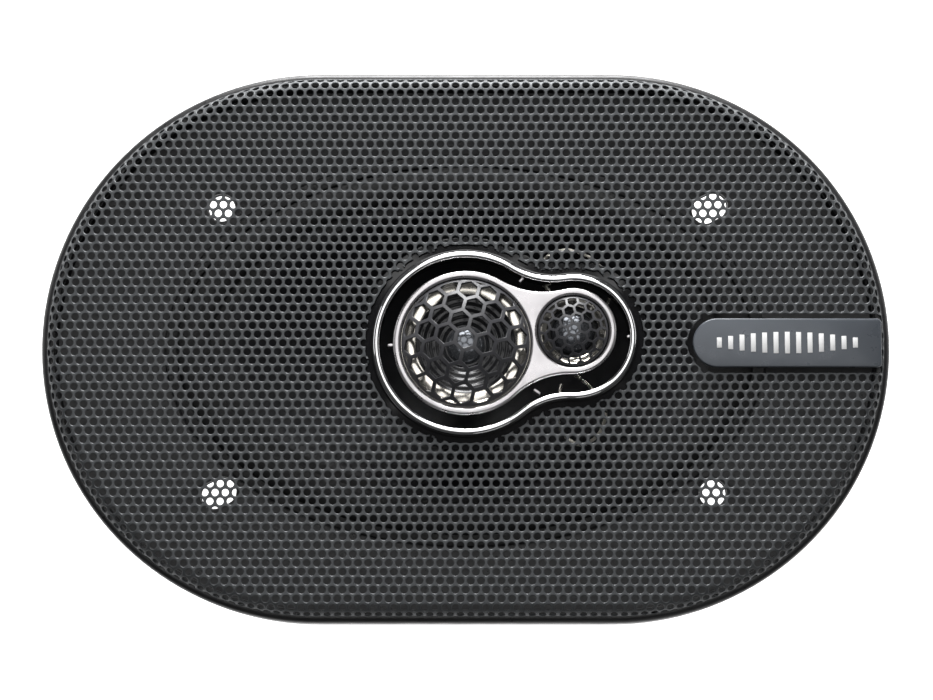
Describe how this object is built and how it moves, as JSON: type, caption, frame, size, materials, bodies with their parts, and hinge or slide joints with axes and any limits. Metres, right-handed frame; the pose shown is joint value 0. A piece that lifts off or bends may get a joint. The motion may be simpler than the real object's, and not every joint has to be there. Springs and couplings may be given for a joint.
{
  "type": "coaxial car speaker",
  "caption": "Oval coaxial car speaker with a raised pod for the smaller drivers and a pull-off stadium-shaped perforated grille.",
  "frame": {"origin": "centre of the back face of the magnet boot, on the woofer's axis", "axes": "+Z is the way the speaker faces, +X runs along the grille's long axis towards the badge, +Y is up when it is hung with the long axis level"},
  "size_m": [0.294, 0.192, 0.109],
  "materials": {
    "black_plastic": "fine-grained moulded",
    "gloss_black": "polished",
    "painted_sheet": "satin black paint on perforated steel",
    "black_steel": "satin black paint",
    "zinc_steel": "zinc plated",
    "ferrite": "sintered, unpainted",
    "rubber": "matt",
    "cone_paper": "ribbed pressed pulp",
    "spider_cloth": "resin-treated weave",
    "foam": "open-cell foam",
    "former_foil": "amber film",
    "copper": "enamelled wire",
    "phenolic": "laminated board",
    "capacitor_sleeve": "shrink sleeve",
    "tinsel": "tinned braid",
    "chrome": "bright plated",
    "satin_silver": "satin plated",
    "slate_plate": "satin",
    "silk_film": "vapour-coated film"
  },
  "bodies": {
    "chassis": {"back_plate_and_pole": "zinc_steel", "magnet": "ferrite", "top_plate": "zinc_steel", "magnet_boot": "rubber", "post_nut": "zinc_steel", "basket": "black_steel", "basket_rivet_1": "zinc_steel", "basket_rivet_2": "zinc_steel", "basket_rivet_3": "zinc_steel", "basket_rivet_4": "zinc_steel", "surround": "rubber", "spider": "spider_cloth", "flange_gasket": "foam", "grille_base": "black_plastic", "pod_post": "black_plastic", "pod_housing": "gloss_black", "pod_bezel": "satin_silver", "midrange_magnet": "ferrite", "midrange_frame": "black_steel", "midrange_reflector": "chrome", "midrange_grille": "black_plastic", "tweeter_magnet": "ferrite", "tweeter_frame": "black_plastic", "tweeter_reflector": "chrome", "tweeter_grille": "black_plastic", "terminal_board": "phenolic", "terminal_positive": "zinc_steel", "terminal_rivet_positive": "zinc_steel", "terminal_negative": "zinc_steel", "terminal_rivet_negative": "zinc_steel", "midrange_capacitor": "capacitor_sleeve", "tweeter_capacitor": "capacitor_sleeve", "tinsel_lead_positive": "tinsel", "tinsel_lead_negative": "tinsel", "pod_lead_upper": "tinsel", "pod_lead_lower": "tinsel"},
    "woofer_cone": {"cone": "cone_paper", "coil_former": "former_foil", "coil_winding": "copper", "dust_ring": "foam"},
    "midrange_moving": {"midrange_cone": "cone_paper", "midrange_cap": "silk_film", "midrange_coil": "copper"},
    "tweeter_moving": {"tweeter_dome": "silk_film", "tweeter_coil": "copper"},
    "grille": {"grille_rim": "black_plastic", "grille_sheet": "painted_sheet", "grille_sheet_edge": "painted_sheet", "trim_ring_seat": "gloss_black", "trim_ring": "chrome", "badge_plate": "slate_plate"}
  },
  "joints": [
    {"name": "cone_travel", "type": "slide", "parent": "chassis", "child": "woofer_cone", "axis": [0, 0, 1], "range_m": [-0.004, 0.004], "stiffness_N_per_m": 1500, "deforming": ["surround", "spider", "tinsel_lead_positive", "tinsel_lead_negative"]},
    {"name": "midrange_travel", "type": "slide", "parent": "chassis", "child": "midrange_moving", "axis": [0, 0, 1], "range_m": [-0.0005, 0.0005], "stiffness_N_per_m": 150},
    {"name": "tweeter_travel", "type": "slide", "parent": "chassis", "child": "tweeter_moving", "axis": [0, 0, 1], "range_m": [-0.0002, 0.0002], "stiffness_N_per_m": 50},
    {"name": "grille_pull", "type": "slide", "parent": "chassis", "child": "grille", "axis": [0, 0, 1], "range_m": [0, 0.03]}
  ]
}
